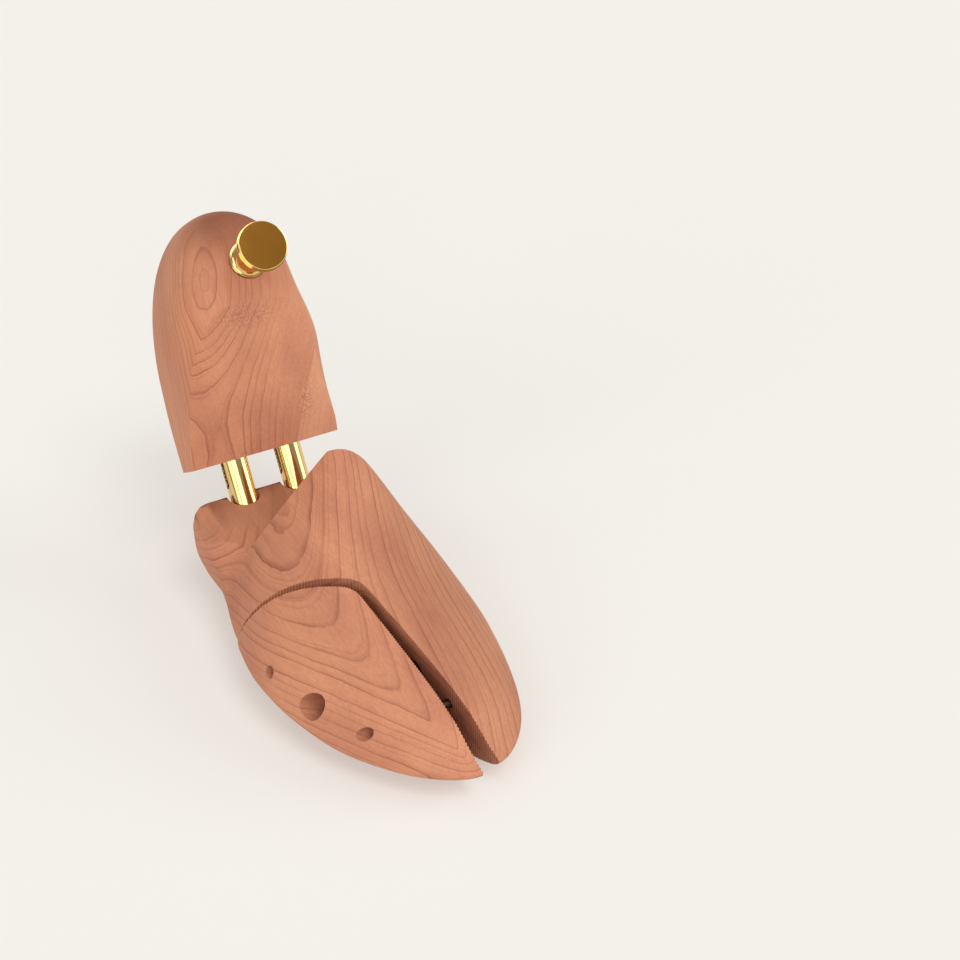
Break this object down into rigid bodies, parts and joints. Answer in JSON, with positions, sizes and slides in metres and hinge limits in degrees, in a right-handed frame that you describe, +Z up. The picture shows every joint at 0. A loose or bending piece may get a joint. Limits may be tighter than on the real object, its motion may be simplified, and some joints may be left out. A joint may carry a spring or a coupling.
{
  "type": "shoe tree",
  "caption": "Right-foot cedar shoe tree: split toe block with sprung flap, twin sprung brass tubes on a hinge pin, shaped heel block with a turned brass knob",
  "frame": {"origin": "middle of the flat sole of the toe block, on the surface the tree stands on", "axes": "+X points to the toe, +Y to the inner side of the foot, +Z up; the heel block is swung up about the hinge pin"},
  "size_m": [0.2205, 0.0842, 0.1433],
  "materials": {
    "toe_block": "bare sanded red cedar, satin",
    "toe_flap": "bare sanded red cedar, satin",
    "heel_block": "bare sanded red cedar, satin",
    "hinge_pin": "drawn brass rod, satin",
    "flap_guide_pin_rear": "plain steel wire pin",
    "flap_guide_pin_front": "plain steel wire pin",
    "flap_screw": "plain steel screw",
    "flap_spring": "spring steel wire",
    "tube_outer": "polished brass tube",
    "tube_inner": "polished brass tube",
    "tube_spring_outer": "spring steel wire",
    "tube_spring_inner": "spring steel wire",
    "heel_cross_pin": "plain steel rod",
    "knob": "turned and polished brass",
    "knob_stud": "plain steel stud"
  },
  "bodies": {
    "toe": {"toe_block": "toe_block", "hinge_pin": "hinge_pin", "flap_guide_pin_rear": "flap_guide_pin_rear", "flap_guide_pin_front": "flap_guide_pin_front", "flap_screw": "flap_screw", "flap_spring": "flap_spring"},
    "flap": {"toe_flap": "toe_flap"},
    "tubes": {"tube_outer": "tube_outer", "tube_inner": "tube_inner", "tube_spring_outer": "tube_spring_outer", "tube_spring_inner": "tube_spring_inner"},
    "heel": {"heel_block": "heel_block", "heel_cross_pin": "heel_cross_pin", "knob": "knob", "knob_stud": "knob_stud"}
  },
  "joints": [
    {"name": "tube_hinge", "type": "hinge", "parent": "toe", "child": "tubes", "pos_m": [-0.058, 0, 0.019], "axis": [0, 1, 0], "range_deg": [-58.5, 0]},
    {"name": "heel_slide", "type": "slide", "parent": "tubes", "child": "heel", "axis": [0.5225, 0, -0.8526], "range_m": [0, 0.012], "stiffness_N_per_m": 1500, "springref_m": -0.012, "deforming": ["tube_spring_outer", "tube_spring_inner"]},
    {"name": "flap_swing", "type": "hinge", "parent": "toe", "child": "flap", "pos_m": [-0.025, -0.04, 0], "axis": [0, 0, 1], "range_deg": [0, 2.75], "stiffness_Nm_per_rad": 8, "springref_deg": -2.86, "deforming": ["flap_spring"]}
  ]
}
